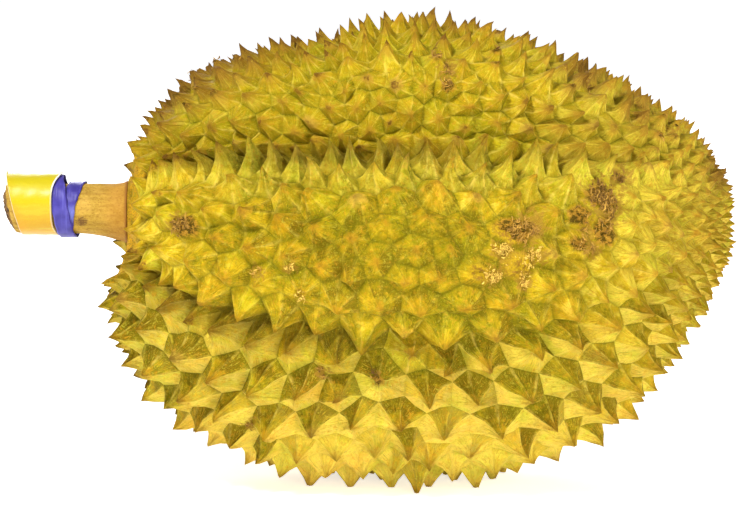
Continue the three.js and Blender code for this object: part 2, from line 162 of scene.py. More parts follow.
def merged_triangles(node):
    """The node's points with doubles merged, and its triangles."""
    mesh = node.data
    points = np.empty(len(mesh.vertices) * 3)
    mesh.vertices.foreach_get("co", points)
    points = points.reshape(-1, 3)
    corners = np.empty(len(mesh.loops), int)
    mesh.loops.foreach_get("vertex_index", corners)
    _, first, number = np.unique(np.round(points / DOUBLES), axis=0, return_index=True, return_inverse=True)
    return points[first], number.ravel()[corners].reshape(-1, 3)


def valley_points(points, triangles):
    """True for a point in a valley, where cells meet: it lies below the mean of the points joined to it."""
    edges = np.concatenate([triangles[:, [0, 1]], triangles[:, [1, 2]], triangles[:, [2, 0]]])
    around = np.zeros_like(points)
    np.add.at(around, edges[:, 0], points[edges[:, 1]])
    count = np.bincount(edges[:, 0], minlength=len(points))
    a, b, c = (points[triangles[:, k]] for k in range(3))
    normals = np.zeros_like(points)
    for k in range(3):
        np.add.at(normals, triangles[:, k], np.cross(b - a, c - a))
    height = ((points - around / count[:, None]) * unit(normals)).sum(1)
    return height < -VALLEY_DEPTH


def joined_tops(triangles, valley):
    """One number for all the points of a thorn's top that are joined to each other, and -1 in a valley."""
    group = np.where(valley, -1, np.arange(len(valley)))
    for _ in range(JOINING_ROUNDS):
        for a, b in ((0, 1), (1, 2), (2, 0)):
            joined = triangles[(~valley[triangles[:, a]]) & (~valley[triangles[:, b]])]
            low = np.minimum(group[joined[:, a]], group[joined[:, b]])
            np.minimum.at(group, joined[:, a], low)
            np.minimum.at(group, joined[:, b], low)
    return group


def meeting_point(starts, ends):
    """The point nearest to all the lines from starts through ends, by least squares."""
    along = unit(ends - starts)
    flat = np.eye(3) - along[:, :, None] * along[:, None, :]
    return np.linalg.solve(flat.sum(0), (flat @ starts[:, :, None]).sum(0)[:, 0])


def read_thorns(node):
    """The cells of the husk: the valley points; for every facet its thorn and its two valley points,
    turning left as seen from outside; and each thorn's tip, which for a blunted thorn is the point where
    its ridges would meet."""
    points, triangles = merged_triangles(node)
    from_seat = np.abs(points - seat_middle())
    on_seat = (from_seat[:, 0] < SEAT_THICK) & (np.hypot(from_seat[:, 1], from_seat[:, 2]) < SEAT_REACH)
    valley = valley_points(points, triangles) & ~on_seat
    group = joined_tops(triangles, valley)
    facets = triangles[valley[triangles].sum(1) == 2]
    turn = np.argmin(valley[facets], axis=1)
    rows = np.arange(len(facets))
    top, first, second = (facets[rows, (turn + k) % 3] for k in range(3))
    owners, thorn = np.unique(group[top], return_inverse=True)
    tips = points[owners].copy()
    for blunted in np.flatnonzero(np.bincount(group[group >= 0], minlength=len(points))[owners] > 1):
        mine = thorn == blunted
        tips[blunted] = meeting_point(points[first[mine]], points[top[mine]])
    kept = np.flatnonzero(valley)
    renumber = np.full(len(points), -1)
    renumber[kept] = np.arange(len(kept))
    first, second = renumber[first], renumber[second]
    return SimpleNamespace(valley=points[kept], thorn=thorn, first=first, second=second, tips=tips)


# ---- The husk ----

CORE = np.array([0.013, 0.0, 0.130])

# The seams, by their angles round the fruit, their widths, and how much of each is gone at the blossom end.
DEEP_SEAM, BELLY_END, LOWER_SEAM = 21, 195, 326
SEAM_ANGLES = np.array([DEEP_SEAM, 100, BELLY_END, 268, LOWER_SEAM])
SEAM_WIDTHS = np.array([7, 7, 7, 7, 5])
SEAM_FADES = np.array([0.35, 0.4, 0.4, 0.4, 1.0])

# The points of a facet, row by row from the tip to the edge of the cell: the row's share of the way down,
# and the shares of the way across of its points. The rows between have points close to both ridges, which
# keeps the ridges crisp.
ROW_DOWN = [0, 0.13, 0.34, 0.62, 0.89, 1.0]
ROW_ACROSS = [[0.5], [0, 0.5, 1], [0, 0.2, 0.8, 1]] + 2 * [[0, 0.11, 0.5, 0.89, 1]] + [[0, 0.5, 1]]

# Torn places on the front: x, z, radius, the share of a thorn that is gone, how many shreds are left, and
# how pale they are, from brown fibres (0) to yellow crumbs (1).
SCARS = np.array([
    [0.0699, 0.1255, 0.0110, 0.80, 200, 0.25], [0.0582, 0.1151, 0.0080, 0.60, 130, 1.0],
    [0.0717, 0.1137, 0.0085, 0.65, 160, 1.0], [0.0537, 0.1047, 0.0070, 0.55, 100, 0.9],
    [0.0672, 0.1015, 0.0060, 0.40, 70, 0.8], [0.0987, 0.1382, 0.0110, 0.80, 170, 0.1],
    [0.1030, 0.1306, 0.0110, 0.80, 170, 0.2], [0.1086, 0.1440, 0.0085, 0.55, 60, 0.1],
    [0.0955, 0.1146, 0.0065, 0.50, 30, 0.3], [0.0928, 0.1214, 0.0060, 0.45, 24, 0.2],
    [-0.0825, 0.1245, 0.0070, 0.75, 90, 0.15], [-0.0474, 0.1057, 0.0050, 0.40, 20, 0.6],
    [-0.0330, 0.1080, 0.0050, 0.40, 24, 0.9], [-0.0280, 0.0950, 0.0050, 0.35, 16, 0.9],
    [-0.0800, 0.1800, 0.0070, 0.20, 16, 0.1], [-0.0680, 0.1865, 0.0070, 0.18, 16, 0.2],
    [-0.0560, 0.1900, 0.0070, 0.15, 12, 0.1], [0.0299, 0.1960, 0.0060, 0.35, 30, 0.1],
    [0.0340, 0.1890, 0.0070, 0.40, 40, 0.2], [0.0560, 0.1980, 0.0060, 0.25, 12, 0.1],
    [0.0960, 0.1800, 0.0060, 0.35, 24, 0.1], [0.1330, 0.1600, 0.0060, 0.35, 12, 0.1],
    [-0.0520, 0.0339, 0.0060, 0.40, 20, 0.2], [-0.0200, 0.0604, 0.0070, 0.40, 26, 0.1],
    [0.0034, 0.0620, 0.0050, 0.35, 14, 0.1],
])
STAIN_SHARE = 0.8  # a stain fades with its distance in this share of its scar's radius

# Places near the top where the thorns have dried brown: x, z and radius.
DRY_PATCHES = np.array([
    [-0.0900, 0.1780, 0.0175], [-0.0760, 0.1880, 0.0185], [-0.0600, 0.1960, 0.0170],
    [-0.0400, 0.2050, 0.0120], [-0.0250, 0.2100, 0.0080], [0.0340, 0.2130, 0.0105],
    [0.0950, 0.1850, 0.0100], [0.1180, 0.1700, 0.0080], [0.1560, 0.1400, 0.0100],
])

CORK_REACH, CORK_REACH_FRONT = 0.028, 0.040  # how far the cork goes from the middle of the seat
CORK_DEPTH = 0.03  # and how far from the seat's face
SEAT_RIM = 14.6 * MM
RIM_SHARE = 0.6  # the share of the way down a facet of the seat's cell at which it has reached the rim


def facet_template():
    """The points of one facet and the small triangles between them: each point's row, its place counted
    from the ridge, its shares of the way down and across, and the triangles, which turn left as seen from
    outside."""
    counts = [len(shares) for shares in ROW_ACROSS]
    start = np.concatenate([[0], np.cumsum(counts)])
    row = np.repeat(np.arange(len(counts)), counts)
    place = np.concatenate([np.arange(count) for count in counts])
    across = np.concatenate([np.array(shares, float) for shares in ROW_ACROSS])
    small = []
    for r in range(len(counts) - 1):
        upper, lower = ROW_ACROSS[r], ROW_ACROSS[r + 1]
        i = j = 0
        while i < len(upper) - 1 or j < len(lower) - 1:
            upper_done = i == len(upper) - 1
            if upper_done or (j < len(lower) - 1 and lower[j + 1] + lower[j] <= upper[i + 1] + upper[i]):
                small.append([start[r] + i, start[r + 1] + j, start[r + 1] + j + 1])
                j += 1
            else:
                small.append([start[r] + i, start[r + 1] + j, start[r] + i + 1])
                i += 1
    down = np.array(ROW_DOWN)[row]
    return SimpleNamespace(row=row, place=place, down=down, across=across, small=np.array(small))


def shared_numbers(cells, template):
    """Which points of the facets are the same point: a tip, a point on a ridge, a valley point or a point
    on a valley edge is shared. Returns where each separate point is first met, and every point's number."""
    many, places = 1 << 18, 64  # more than the facets and the valley points, and more than a facet's points
    last = template.row.max()
    ends = (np.bincount(template.row)[template.row] - 1)[None, :]
    row, place = template.row[None, :], template.place[None, :]
    thorn, first, second = (values[:, None] for values in (cells.thorn, cells.first, cells.second))
    facet = np.arange(len(thorn))[:, None]
    ridge_at = np.where(place == 0, first, second)
    step = np.where(first < second, place, ends - place)
    low, high = np.minimum(first, second), np.maximum(first, second)
    tip = (thorn * many) * places
    ridge = ((1 * many + thorn) * many + ridge_at) * places + row
    edge = ((2 * many + low) * many + high) * places + step
    own = ((3 * many + facet) * many) * places + row * 8 + place
    corner = ((4 * many + ridge_at) * many) * places
    at_ridge = (place == 0) | (place == ends)
    key = np.where(at_ridge, ridge, own)
    key = np.where(row == last, np.where(at_ridge, corner, edge), key)
    key = np.where(row == 0, tip, key)
    _, index, inverse = np.unique(key, return_index=True, return_inverse=True)
    return index, inverse.reshape(key.shape)


def angle_round(points):
    """Degrees round the fruit."""
    return np.degrees(np.arctan2(points[..., 2] - CORE[2], -(points[..., 1] - CORE[1])))


def beyond(angle, start):
    """Degrees from a seam, counted over the top, between -180 and 180."""
    return (angle - start + 180) % 360 - 180


def sum_by_owner(owner, values, owners):
    """Adds up rows of values for each owner."""
    return np.stack([np.bincount(owner, values[:, k], owners) for k in range(values.shape[1])], -1)


def torn_share(tips, up):
    """The share of each thorn that is torn off: the greatest of the scars that its tip is in."""
    gone = np.zeros(len(tips))
    for x, z, radius, share, _, _ in SCARS:
        away = np.hypot(tips[:, 0] - x, tips[:, 2] - z)
        gone = np.maximum(gone, share * (away < radius) * (up[:, 1] < 0.3))
    return gone


def thorn_places(foot):
    """Where each thorn stands on the fruit, as shares from 0 to 1 of being on each of its parts: front is
    the middle lobe with the lip, and the belly is the lower lobe."""
    angle = angle_round(foot)
    roundness = length((foot - CORE)[:, 1:]) / length(foot - CORE)
    under_deep = -beyond(angle, DEEP_SEAM)
    lip = smoothstep(roundness, 0.3, 0.7) * (under_deep > 0) * (1 - smoothstep(under_deep, 8, 18))
    return SimpleNamespace(
        lip=lip,
        belly=smoothstep(-beyond(angle, LOWER_SEAM), 0, 8) * smoothstep(beyond(angle, BELLY_END), 0, 8),
        middle_lobe=smoothstep(beyond(angle, LOWER_SEAM), 2, 12) * (under_deep > 12),
        shoulder=smoothstep(-under_deep, 2, 8) * (1 - smoothstep(-under_deep, 20, 36)),
        front=(angle > LOWER_SEAM - 360) * (under_deep > 0) * smoothstep(roundness, 0.4, 0.8),
        top=smoothstep(-under_deep, 0, 6),
    )


def shape_thorns(cells, rng):
    """What each thorn is like. Its foot is the mean of its valley points, and its axis runs from there to
    its tip. A greater power hollows its flanks towards the foot, blunt_tip rounds its tip, and bend leads
    its flank aside."""
    thorns, thorn = len(cells.tips), cells.thorn
    corners = cells.valley[cells.first]
    ring_count = np.bincount(thorn, minlength=thorns)[:, None]
    foot = sum_by_owner(thorn, corners, thorns) / ring_count
    reach = sum_by_owner(thorn, length(corners - foot[thorn])[:, None], thorns)
    reach = (reach / ring_count)[:, 0]
    axis = cells.tips - foot
    height = length(axis)
    up = unit(axis)
    on = thorn_places(foot)
    squat = (1 - smoothstep(height / reach, 0.75, 1.25)) * (1 - on.belly)

    floorward = smoothstep(-up[:, 2], 0.5, 0.9)
    power = 2.1 + 0.3 * floorward - 0.5 * on.middle_lobe - 0.8 * on.shoulder + 0.3 * on.lip - 0.6 * on.belly
    power = np.maximum(power + rng.uniform(-0.2, 0.3, thorns), 1)
    blunt_tip = 0.02 + 0.03 * on.middle_lobe + 0.05 * on.shoulder + 0.16 * squat * rng.uniform(0.3, 1, thorns)
    bend = np.cross(up, unit(rng.normal(size=(thorns, 3))))
    bend *= (height * rng.uniform(0.15, 1.2, thorns) * (1 - 0.7 * squat) * (1 - 0.4 * on.belly))[:, None]
    hollow = rng.uniform(-0.01, 0.09, len(thorn)) + (0.05 * on.belly - 0.06 * squat)[thorn]
    tint = rng.uniform(0, 1, thorns)
    facet_tint = rng.uniform(0, 1, len(thorn))
    gone = torn_share(cells.tips, up)
    dome_power = rng.uniform(1.5, 2.4, thorns)
    traits = dict(tint=tint, squat=squat, front=on.front, lip=on.lip, top=on.top, belly=on.belly)
    made = dict(foot=foot, axis=axis, power=power, blunt_tip=blunt_tip, bend=bend, hollow=hollow, gone=gone)
    return SimpleNamespace(dome_power=dome_power, facet_tint=facet_tint, traits=traits, **made)


def facet_surface(cells, thorns, template):
    """Every facet runs from its thorn's tip to an edge of its cell. A point u of the way down and w of the
    way across is the foot of the thorn, plus u times the way to the edge point, plus the thorn's height
    times a profile that is steep near the tip and flat near the edge, less a hollow in the middle of the
    facet. The thorn's bend leads it aside, most at a third of the way down."""

    def of(values):
        return values[cells.thorn].reshape(len(cells.thorn), 1, -1)

    u, w = template.down[None, :, None], template.across[None, :, None]
    left = 1 - u
    a, b = cells.valley[cells.first][:, None, :], cells.valley[cells.second][:, None, :]
    edge = a + w * (b - a)
    k = of(thorns.blunt_tip)
    cone = (np.sqrt(1 + k * k) - np.sqrt(u * u + k * k)) / (np.sqrt(1 + k * k) - k)
    profile = 0.35 * cone + 0.65 * cone ** of(thorns.power)
    profile = mix(profile, 1 - u ** of(thorns.dome_power), 0.4 * of(thorns.traits["squat"]))
    limit = 1 - of(thorns.gone)
    torn = smoothstep(profile, limit, limit + 0.05) * (limit < 1)
    profile = np.minimum(profile, limit)

    foot, tip = of(thorns.foot), of(cells.tips)
    normal = unit(np.cross(a - tip, b - tip))
    width = length(b - a)[..., None]
    dip = thorns.hollow[:, None, None] * width * 16 * w * (1 - w) * u * left
    points = foot + u * (edge - foot) + profile * of(thorns.axis)
    points = points - dip * normal + of(thorns.bend) * u * left * left

    seat = seat_middle()
    on_seat = cells.thorn == np.argmin(length(cells.tips - seat))
    points[on_seat] = seat_points(edge[on_seat], template.down, seat)

    # For the finish: numbers at the points, and millimetres across the foot of the facet and down it.
    to_edge = length(edge - foot) * left[..., 0] / MM
    values = dict(rise=left[..., 0], to_edge=to_edge, ridge=np.abs(2 * w[..., 0] - 1), torn=torn[..., 0])
    across = template.across * width[:, :, 0] / MM
    down = template.down * length(edge - tip) / MM
    return SimpleNamespace(points=points, normal=normal[:, 0], values=values, across=across, down=down)


def seat_points(edge, down, centre):
    """The cell that the stalk stands on: flat out to the stalk's rim, then a rounded slope to the cell's
    edge."""
    out = edge - centre
    flat_out = out * [0, 1, 1]
    distance = length(flat_out)[..., None]
    share = down[None, :, None]
    inner = np.minimum(share / RIM_SHARE, 1)
    outer = np.clip((share - RIM_SHARE) / (1 - RIM_SHARE), 0, 1)
    across = unit(flat_out) * (inner * SEAT_RIM + outer * (distance - SEAT_RIM))
    drop = out * [1, 0, 0] * (outer**1.6)
    return centre + across + drop


def cork_share(points):
    """How corky the rind is: 1 round the stalk, down to 0 at an uneven border that lies farther out in
    front."""
    seat = seat_middle()
    from_stalk = length((points - seat)[:, 1:]) + waves(points, 9 * MM, 31) * 1.5 * MM
    border = mix(CORK_REACH, CORK_REACH_FRONT, smoothstep(seat[1] - points[:, 1], 0, 0.010))
    return (1 - smoothstep(from_stalk, 0.68 * border, border)) * (points[:, 0] < seat[0] + CORK_DEPTH)


def roughened(points, outward, to_edge, torn, cork):
    """The points with bumps that fade at the cells' edges and are stronger on torn tips and cork, and with
    a slow drift that curves those edges. What is near the floor or the seat stays where it is."""
    bumps = waves(points, 9 * MM, 3) * 0.3 * MM
    bumps = bumps + waves(points, 3.2 * MM, 4) * (0.12 + 0.6 * torn + 0.7 * cork) * MM
    drift = np.stack([waves(points, 16 * MM, seed) for seed in (5, 6, 7)], -1) * 0.7 * MM
    from_seat = length(points - seat_middle())
    free = smoothstep(points[:, 2], 1 * MM, 9 * MM) * smoothstep(from_seat, 0.02, 0.03)
    moved = outward * (bumps * smoothstep(to_edge, 0.0, 2.0))[:, None] + drift
    return inside(points + moved * free[:, None], "husk")


def gaps_to(spots, points, share=1.0):
    """How far each point is from each spot, as seen from the front, in shares of the spot's radius."""
    return np.hypot(points[:, :1] - spots[:, 0], points[:, 2:] - spots[:, 1]) / (share * spots[:, 2])


def groove_share(points, outward):
    """1 along the middle of a seam and 0 away from it, less towards the blossom end and none at the two
    ends."""
    gaps = beyond(angle_round(points)[:, None], SEAM_ANGLES) / SEAM_WIDTHS
    left = 1 - SEAM_FADES * smoothstep(outward[:, :1], -0.4, 0.8)
    return (np.exp(-(gaps**2)) * left).max(1) * smoothstep(length(outward[:, 1:]), 0.2, 0.6)


def build_husk():
    """The facets of all the thorns as one closed skin, roughened, with the numbers that its finish
    reads."""
    rng = np.random.default_rng(SEED)
    cells = read_thorns(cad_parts["husk"])
    template = facet_template()
    thorns = shape_thorns(cells, rng)
    facets = facet_surface(cells, thorns, template)
    index, inverse = shared_numbers(cells, template)
    values = {}
    for name, given in facets.values.items():
        values[name] = np.broadcast_to(given, inverse.shape).ravel()[index]
    points = facets.points.reshape(-1, 3)[index]
    outward = unit(points - CORE)
    cork = cork_share(points)
    points = roughened(points, outward, values["to_edge"], values["torn"], cork)
    husk = make_piece("thorny_husk", points, inverse[:, template.small].reshape(-1, 3), "husk")

    scar_gaps = gaps_to(SCARS, points, STAIN_SHARE)
    stains = np.exp(-(scar_gaps**2)) * smoothstep(SCARS[:, 3], 0.1, 0.5)
    values["stain"] = stains.max(1) * (outward[:, 1] < 0.3)
    values["pale"] = SCARS[np.argmin(scar_gaps, axis=1), 5]
    values["dried"] = np.exp(-(gaps_to(DRY_PATCHES, points) ** 2)).max(1)
    values["collar"] = cork
    values["blossom"] = smoothstep(outward[:, 0], 0.45, 0.98)
    # places near the floor, which the finish paints lighter as painted light from the floor
    values["low"] = 1 - smoothstep(points[:, 2], 0.020, 0.075)
    values["groove"] = groove_share(points, outward)
    for name, given in values.items():
        add_values(husk, name, given)

    of_facets = {name: given[cells.thorn] for name, given in thorns.traits.items()}
    of_facets["facet_tint"] = thorns.facet_tint
    # which way each facet faces, which the finish uses for painted light and shade
    of_facets["downward"] = -facets.normal[:, 2]
    of_facets["leftward"] = -facets.normal[:, 0]
    for name, given in of_facets.items():
        add_values(husk, name, np.repeat(given, len(template.small)), "FACE")
    offset = rng.uniform(0, 50, len(cells.thorn))[:, None]
    add_uv(husk, np.stack([facets.across + offset, facets.down + offset], -1)[:, template.small])
    return husk, points, outward, values["torn"]


# ---- The shreds on the torn thorns ----

# A shred has a pole, three rings and a pole: where they lie, from -1 to 1, and the sizes of the rings.
SHRED_ALONG = np.array([-1, -0.6, 0, 0.6, 1.0])
SHRED_SIZES = np.array([0.75, 1, 0.7])
SHRED_SIDES = 4
SHRED_FLATNESS = 0.45


def shred_faces():
    """The triangles of one shred: a fan at each pole, and the walls between its rings."""
    rings, sides = len(SHRED_SIZES), SHRED_SIDES
    k = np.arange(sides)
    after = (k + 1) % sides
    last = 1 + (rings - 1) * sides
    faces = [np.stack([np.zeros(sides, int), 1 + after, 1 + k], -1)]
    faces.append(np.stack([np.full(sides, last + sides), last + k, last + after], -1))
    for r in range(rings - 1):
        here, there = 1 + r * sides, 1 + (r + 1) * sides
        faces.append(np.stack([here + k, here + after, there + after], -1))
        faces.append(np.stack([here + k, there + after, there + k], -1))
    return np.concatenate(faces)


def shred_roots(surface, outward, torn, rng):
    """Points of the husk that the shreds stand on, picked by chance and closest in the middle of each scar,
    with the way up there and how pale the scar's shreds are."""
    roots, ups, kinds = [], [], []
    for x, z, radius, _, count, pale in SCARS:
        away = np.hypot(surface[:, 0] - x, surface[:, 2] - z)
        close = (torn > 0.2) | (away < 0.35 * radius)
        near = np.flatnonzero((away < radius) & (outward[:, 1] < 0.2) & close)
        if not len(near):
            continue
        nearness = (1.02 - away[near] / radius) ** (1 + 1.5 * pale)
        picked = rng.choice(near, int(count), p=nearness / nearness.sum())
        roots.append(surface[picked])
        ups.append(outward[picked])
        kinds.append(np.full(int(count), pale))
    return np.concatenate(roots), np.concatenate(ups), np.concatenate(kinds)


def build_shreds(surface, outward, torn):
    """Dry shreds on the torn places: each is a bent spindle of four-sided rings with a pole at both ends. A
    ring's centre lies along the shred's direction and is lifted by a parabola, and the middle ring is the
    widest."""
    rng = np.random.default_rng(SEED + 1)
    roots, ups, kinds = shred_roots(surface, outward, torn, rng)
    count = len(roots)
    jitter = rng.normal(size=(count, 3)) * 0.8 * MM
    roots = roots + jitter - (jitter * ups).sum(1, keepdims=True) * ups
    direction = rng.normal(size=(count, 3))
    direction = unit(direction - 0.7 * (direction * ups).sum(1, keepdims=True) * ups)
    lift = unit(np.cross(direction, rng.normal(size=(count, 3))))
    beside = np.cross(direction, lift)
    long = rng.uniform(1.4, 4.4, count) * (1 - 0.55 * kinds) * MM
    thick = rng.uniform(0.2, 0.42, count) * (1 + 0.1 * kinds) * MM
    bow = rng.uniform(-0.4, 0.4, count)[:, None] * long[:, None] * (1 - SHRED_ALONG**2)

    spine = roots[:, None] + direction[:, None] * (SHRED_ALONG * long[:, None] / 2)[..., None]
    spine = spine + lift[:, None] * bow[..., None] + ups[:, None] * 0.4 * MM
    turn = (np.arange(SHRED_SIDES) * 2 * np.pi / SHRED_SIDES)[:, None]
    ring = lift[:, None, None] * np.cos(turn) + beside[:, None, None] * (np.sin(turn) * SHRED_FLATNESS)
    size = thick[:, None] * SHRED_SIZES
    body = spine[:, 1:4, None] + ring * size[:, :, None, None]
    points = np.concatenate([spine[:, :1], body.reshape(count, -1, 3), spine[:, 4:]], 1)
    one = shred_faces()
    faces = (one[None] + (np.arange(count) * points.shape[1])[:, None, None]).reshape(-1, 3)
    shreds = make_piece("torn_shreds", inside(points.reshape(-1, 3), "husk"), faces, "husk")
    add_values(shreds, "kind", np.repeat(kinds + rng.uniform(-0.2, 0.25, count), len(one)), "FACE")
    return shreds


# ---- The stalk ----

STALK_RISE = 1.5  # mm that the stalk's axis lies above the seat's middle, past the flare

# The stalk's profile: millimetres out from the seat and radius. It flares at the seat and is drawn in at
# the cut.
STALK_PROFILE = [
    (0.3, 13.7), (0.9, 13.75), (2.0, 13.2), (3.6, 12.75), (6.5, 12.25),
    (10, 11.85), (14.5, 11.55), (20, 11.3), (27, 11.2), (34, 11.3),
    (41, 11.2), (46, 11.1), (49.6, 11.0), (52.0, 10.5), (53.2, 9.5),
]
STALK_STEPS, STALK_SIDES = 62, 112
BARK_RADIUS = 11  # mm, for lengths round the bark
CUT_RINGS = np.array([0.86, 0.72, 0.56, 0.4, 0.24, 0.1])  # shares of the cut's radius
CUT_BULGE = 2.2  # mm that the middle of the cut stands out
CUT_SLANT = 2.5  # mm that the top of the cut stands out, and its bottom in
CUT_MIDDLE = 54  # mm out from the seat
KNOT = (20.5, -24, 2.2)  # a brown knot on the stalk: millimetres out, degrees round, radius
NUB = (19.8, 66, 1.2)  # a small nub near its upper edge
KNOT_STAIN = 3.0  # mm


def on_stalk(out, away, angle):
    """Points from millimetres out from the seat and away from the stalk's axis, and an angle round it."""
    seat = seat_middle()
    x = seat[0] - out * MM
    y = seat[1] - away * np.cos(angle) * MM
    z = seat[2] + (STALK_RISE + away * np.sin(angle)) * MM
    return np.stack(np.broadcast_arrays(x, y, z), -1)


def smooth_path(stations, count):
    """Points evenly spaced in parameter on the Catmull-Rom curve through the stations."""
    stations = np.asarray(stations, float)
    padded = np.concatenate([[2 * stations[0] - stations[1]], stations, [2 * stations[-1] - stations[-2]]])
    place = np.linspace(0, len(stations) - 1 - 1e-9, count)
    i = place.astype(int)
    t = (place - i)[:, None]
    a, b, c, d = (padded[i + k] for k in range(4))
    return b + 0.5 * t * (c - a + t * (2 * a - 5 * b + 4 * c - d + t * (3 * (b - c) + d - a)))


def gap_along_bark(out, angle, spot):
    """Millimetres along the bark to the middle of a spot."""
    place, degrees, _ = spot
    turned = (angle - degrees * DEGREE + np.pi) % (2 * np.pi)
    return np.hypot(out - place, turned * BARK_RADIUS - np.pi * BARK_RADIUS)


def bark_relief(out, angle):
    """Millimetres that the bark stands up: uneven ribs along it, and a swelling with a dip in its middle at
    the knot and the nub."""
    round_bark = BARK_RADIUS * np.cos(angle), BARK_RADIUS * np.sin(angle)
    lengthwise = np.stack(np.broadcast_arrays(out * 0.12, *round_bark), -1)
    ribs = waves(lengthwise, 6.5, 21) * 0.16 + waves(lengthwise * [3, 1, 1], 2.6, 22) * 0.09
    swell = 0
    for spot in (KNOT, NUB):
        size = spot[2]
        gap = gap_along_bark(out, angle, spot) / size
        swell = swell + 0.22 * size * np.exp(-(gap**2)) - 0.12 * size * np.exp(-((gap * 2.4) ** 2))
    return ribs + swell


def build_stalk():
    """A round bar along X. Its radius follows the profile plus the bark's relief; the rings of the cut are
    drawn in to its middle, each pushed out or in by uneven waves."""
    cut_out, cut_radius = STALK_PROFILE[-1]
    cut = np.stack([cut_out + CUT_BULGE * (1 - CUT_RINGS**2), cut_radius * CUT_RINGS], -1)
    profile = np.concatenate([smooth_path(STALK_PROFILE, STALK_STEPS), cut])
    rows, sides = len(profile), STALK_SIDES
    out, radius = profile[:, :1], profile[:, 1:]
    angle = np.linspace(0, 2 * np.pi, sides, endpoint=False)[None, :]
    all_round = np.zeros(sides)
    on_cut = smoothstep(np.arange(rows), STALK_STEPS - 4, STALK_STEPS)[:, None] + all_round
    away = radius + bark_relief(out, angle) * (1 - on_cut) * smoothstep(out, 0.3, 1.5)
    slant = CUT_SLANT * smoothstep(out, 39, 51) * np.sin(angle) * radius / 11.3
    points = on_stalk(out + slant, away, angle)
    points[..., 2] -= STALK_RISE * (1 - smoothstep(out, 0.3, 20)) * MM
    rough = np.abs(waves(points, 4.5 * MM, 23)) * 0.9 + np.abs(waves(points, 1.8 * MM, 24)) * 0.5
    points[..., 0] += (rough - 0.4) * MM * on_cut

    skin = inside(points.reshape(-1, 3), "stalk")
    last = (rows - 1) * sides
    far_pole, near_pole = skin[last:].mean(0), seat_middle() - [SEAT_TO_STALK, 0, 0]
    k = np.arange(sides)
    after = (k + 1) % sides
    far_cap = np.stack([last + k, last + after, np.full(sides, len(skin))], -1)
    near_cap = np.stack([after, k, np.full(sides, len(skin) + 1)], -1)
    faces = np.concatenate([halves(wrapped_grid(rows, sides)), far_cap, near_cap])
    stalk = make_piece("bark_stalk", np.concatenate([skin, [far_pole, near_pole]]), faces, "stalk")
    knot = np.exp(-((gap_along_bark(out, angle, KNOT) / KNOT_STAIN) ** 2))
    add_values(stalk, "on_cut", np.append(on_cut, [1, 0]))
    add_values(stalk, "out", np.append(out + all_round, [CUT_MIDDLE, 0]))
    add_values(stalk, "knot", np.append(knot, [0, 0]))
    return stalk


# ---- The paper sleeve ----

# Millimetres. The edges are counted out from the seat, at the middle of the sleeve's height.
SLEEVE_NEAR, SLEEVE_FAR = 33.6, 50.9
SLEEVE_SLANT = 3.5
SLEEVE_WALL = 0.45
SLEEVE_PLAY = 0.42  # what the paper leaves free in its box, for its dents
SLEEVE_CURL = 0.105
SLEEVE_STEPS, SLEEVE_SIDES = 22, 144


def build_sleeve():
    """A loose paper tube on an axis above the stalk's. Across its wall the section is a thin closed loop;
    round it, the radius has a few shallow dents, and its near edge is drawn out to a corner above and
    another below."""
    low, high = box_of("paper_sleeve")
    middle_y, middle_z = (low[1] + high[1]) / 2, (low[2] + high[2]) / 2
    radius = (high[2] - low[2]) / 2 / MM
    angle = np.linspace(0, 2 * np.pi, SLEEVE_SIDES, endpoint=False)
    height = np.sin(angle)
    near = SLEEVE_NEAR - (3.4 + 0.9 * height) * height**4
    far = SLEEVE_FAR + SLEEVE_SLANT * height
    share = np.linspace(0, 1, SLEEVE_STEPS)[:, None]
    out = near + share * (far - near)
    dents = 0.16 * np.sin(3 * angle + 0.7) + 0.1 * np.sin(7 * angle + 2 + 0.12 * out)
    dents = dents + 0.05 * np.sin(0.9 * out + 5 * angle)
    outside = radius - SLEEVE_PLAY + dents + SLEEVE_CURL * np.abs(2 * share - 1) ** 6

    rings_out = out_and_back(out, out)
    rings_away = out_and_back(outside, outside - SLEEVE_WALL)
    x = seat_middle()[0] - rings_out * MM
    y = middle_y - rings_away * np.cos(angle) * MM
    z = middle_z + rings_away * height * MM
    points = inside(np.stack([x, y, z], -1).reshape(-1, 3), "paper_sleeve")
    rows = len(rings_out)
    faces = wrapped_grid(rows + 1, SLEEVE_SIDES) % (rows * SLEEVE_SIDES)
    sleeve = make_piece("paper_sleeve_wrap", points, faces, "paper_sleeve")
    add_values(sleeve, "from_near", out_and_back(out - near, out - near))
    add_values(sleeve, "from_far", out_and_back(far - out, far - out))
    add_values(sleeve, "height", np.broadcast_to(height, rings_out.shape))
    add_values(sleeve, "inner", out_and_back(np.zeros_like(out), np.ones_like(out)))
    return sleeve


# ---- The ribbon ----

# The ribbon's way round the stalk: degrees round it, millimetres out from the seat and away from the
# stalk's axis, its width there, and how far its outer edge stands off.
RIBBON_STATIONS = [
    (150, 22.3, 11.75, 6.8, 0.0), (90, 22.5, 11.75, 6.8, 0.0), (45, 24.6, 11.75, 6.8, 0.1),
    (0, 26.9, 11.75, 6.8, 0.1), (-45, 27.6, 11.75, 6.8, 0.0), (-90, 27.6, 11.8, 6.8, 0.0),
    (-135, 28.4, 11.8, 6.8, 0.0), (-180, 29.8, 12.2, 6.8, 0.0), (-225, 31.0, 13.6, 6.4, 0.1),
    (-270, 31.5, 15.1, 5.4, 0.3), (-315, 30.8, 13.8, 6.4, 0.2), (-360, 29.6, 12.75, 7.3, 0.1),
    (-405, 27.8, 12.6, 7.4, 0.1), (-450, 26.3, 12.6, 7.2, 0.0), (-505, 25.3, 12.6, 6.8, 0.0),
]
RIBBON_STEPS, RIBBON_ACROSS = 300, 9
RIBBON_THICK = 0.22  # mm
RIBBON_BOW = 0.06  # mm that its middle stands higher than its edges
RIBBON_OFF = 0.12  # mm between its way and its underside


